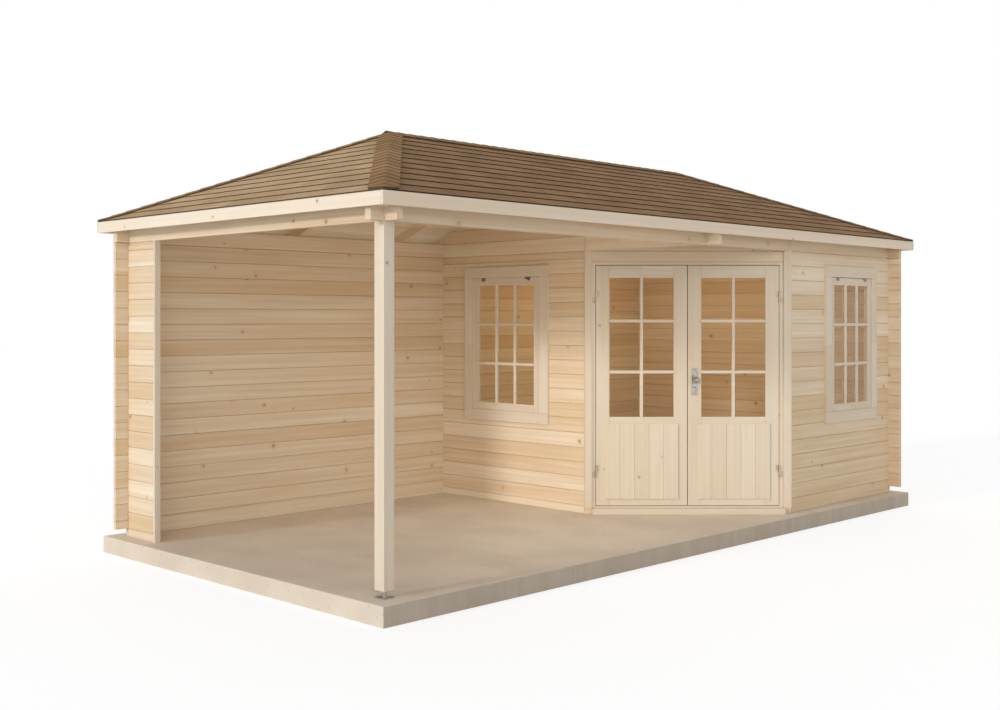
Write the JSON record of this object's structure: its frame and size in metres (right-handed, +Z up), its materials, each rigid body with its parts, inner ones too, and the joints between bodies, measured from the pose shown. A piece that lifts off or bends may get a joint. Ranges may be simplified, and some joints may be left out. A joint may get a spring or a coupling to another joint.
{
  "type": "garden house",
  "caption": "Log-built garden house with a closed room, a glazed double door across its cut-off corner, an open veranda and a hip roof, on a concrete slab.",
  "frame": {"origin": "centre of the slab's underside", "axes": "+X along the front to the room's end, +Y to the back, +Z up"},
  "size_m": [6.425, 2.91, 2.9415],
  "materials": {
    "log_wood": "raw planed spruce",
    "planed_wood": "raw planed spruce",
    "door_wood": "smooth planed spruce",
    "glass": "clear",
    "steel": "satin",
    "shingle": "mineral granules",
    "concrete": "cast concrete"
  },
  "bodies": {
    "house": {"back_wall": "log_wood", "veranda_end_wall": "log_wood", "cabin_side_wall": "log_wood", "cabin_front_wall": "log_wood", "cabin_right_wall": "log_wood", "cabin_side_gable": "log_wood", "door_header": "log_wood", "front_plate": "log_wood", "back_plate": "log_wood", "left_plate": "log_wood", "right_plate": "log_wood", "cabin_side_plate": "log_wood", "floor_bearers": "log_wood", "ridge_board": "log_wood", "hip_rafters": "log_wood", "common_rafters": "log_wood", "corner_strips": "planed_wood", "door_jambs": "planed_wood", "door_head": "planed_wood", "door_sill": "planed_wood", "veranda_post": "planed_wood", "veranda_end_trim": "planed_wood", "side_window_casing": "planed_wood", "side_window_sash": "planed_wood", "front_window_casing": "planed_wood", "front_window_sash": "planed_wood", "floor_boards": "planed_wood", "roof_boards": "planed_wood", "long_fascias": "planed_wood", "end_fascias": "planed_wood", "window_glass": "glass", "post_foot": "steel", "frame_hinges": "steel", "roof_covering": "shingle", "ridge_and_hip_caps": "shingle", "concrete_slab": "concrete"},
    "left_door": {"left_door_leaf": "door_wood", "left_door_panel": "door_wood", "left_door_glass": "glass", "left_door_hinges": "steel"},
    "right_door": {"right_door_leaf": "door_wood", "right_door_panel": "door_wood", "right_door_glass": "glass", "right_door_hinges": "steel", "right_door_handles": "steel"}
  },
  "joints": [
    {"name": "left_door_swing", "type": "hinge", "parent": "house", "child": "left_door", "pos_m": [0.18031, -0.30057, 1.115], "axis": [0, 0, -1], "range_deg": [0, 120]},
    {"name": "right_door_swing", "type": "hinge", "parent": "house", "child": "right_door", "pos_m": [1.255, -1.25535, 1.115], "axis": [0, 0, 1], "range_deg": [0, 120]}
  ]
}
